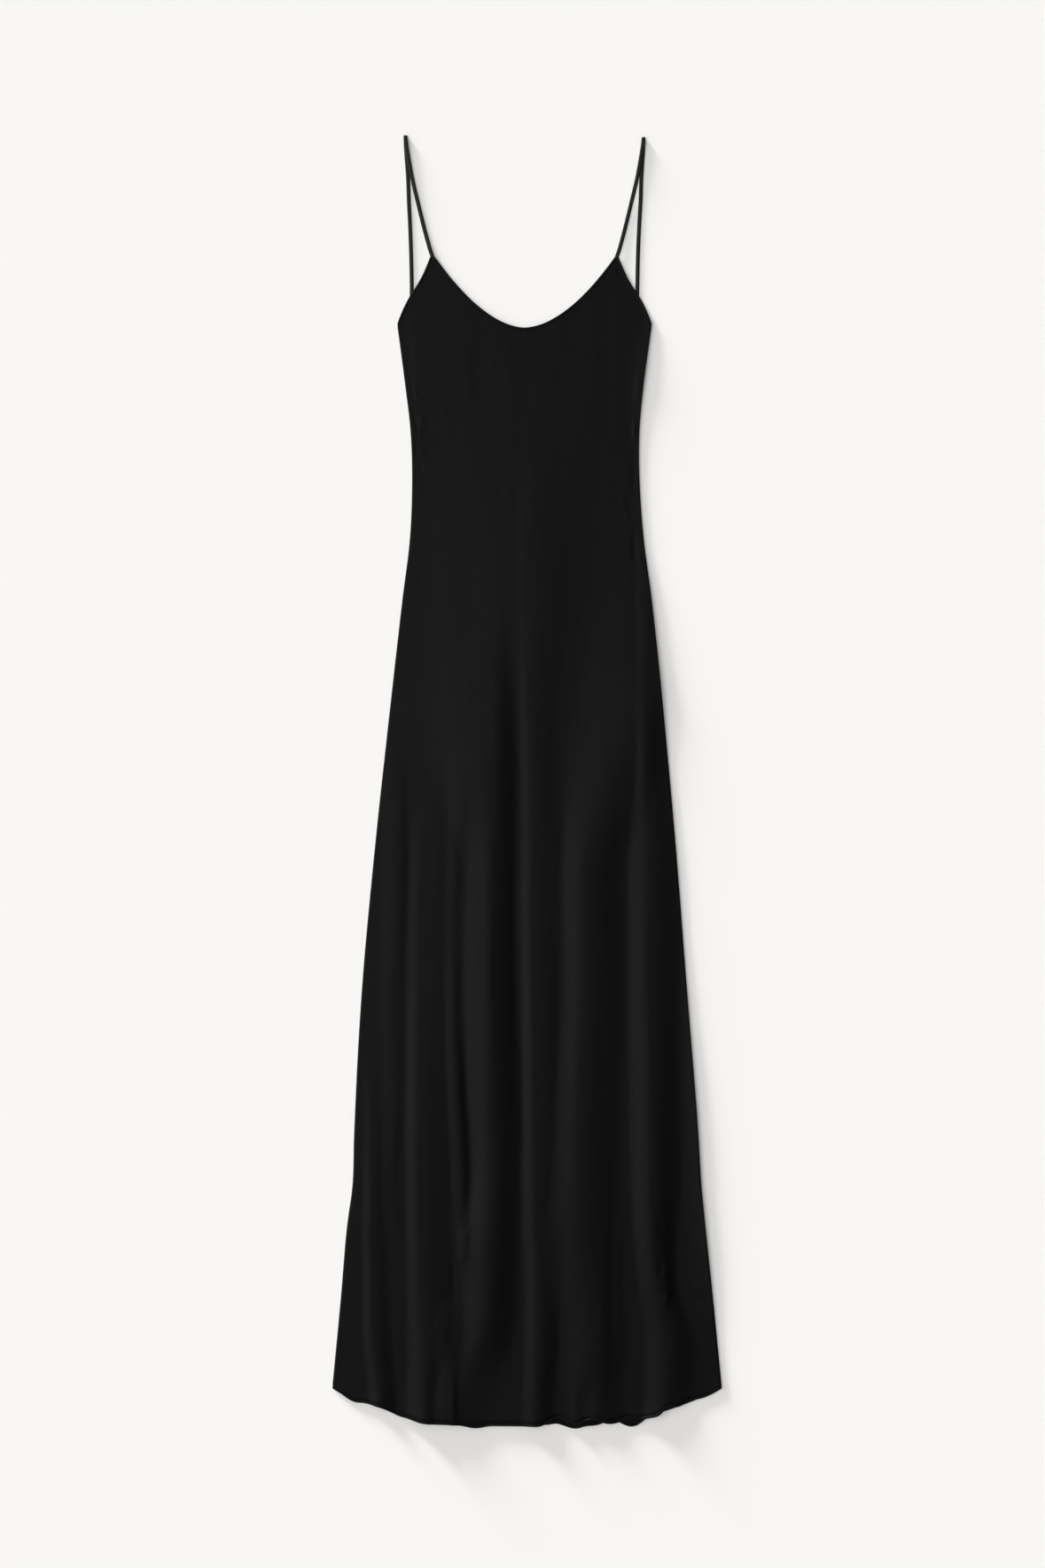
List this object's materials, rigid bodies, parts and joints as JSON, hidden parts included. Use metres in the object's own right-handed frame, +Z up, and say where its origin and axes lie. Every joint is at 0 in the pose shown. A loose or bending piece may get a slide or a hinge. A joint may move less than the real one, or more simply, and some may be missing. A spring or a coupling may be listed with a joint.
{
  "type": "slip dress",
  "caption": "Long bias-cut slip dress laid flat: smooth front and back satin panels with a scooped neck, soft skirt folds and narrow shoulder straps.",
  "frame": {"origin": "on the surface the dress lies on, under the middle of its outline", "axes": "+Y along the dress from hem to straps, +Z up from the surface, out of the front panel, +X to the right of someone looking at the front"},
  "size_m": [0.452, 1.5017, 0.0101],
  "materials": {
    "satin_front": "black satin, soft sheen along the folds",
    "satin_back": "black satin, soft sheen",
    "strap_cloth": "black satin, turned narrow tube"
  },
  "bodies": {
    "root": {"front_panel": "satin_front", "back_panel": "satin_back", "strap_left": "strap_cloth", "strap_right": "strap_cloth"}
  },
  "joints": []
}
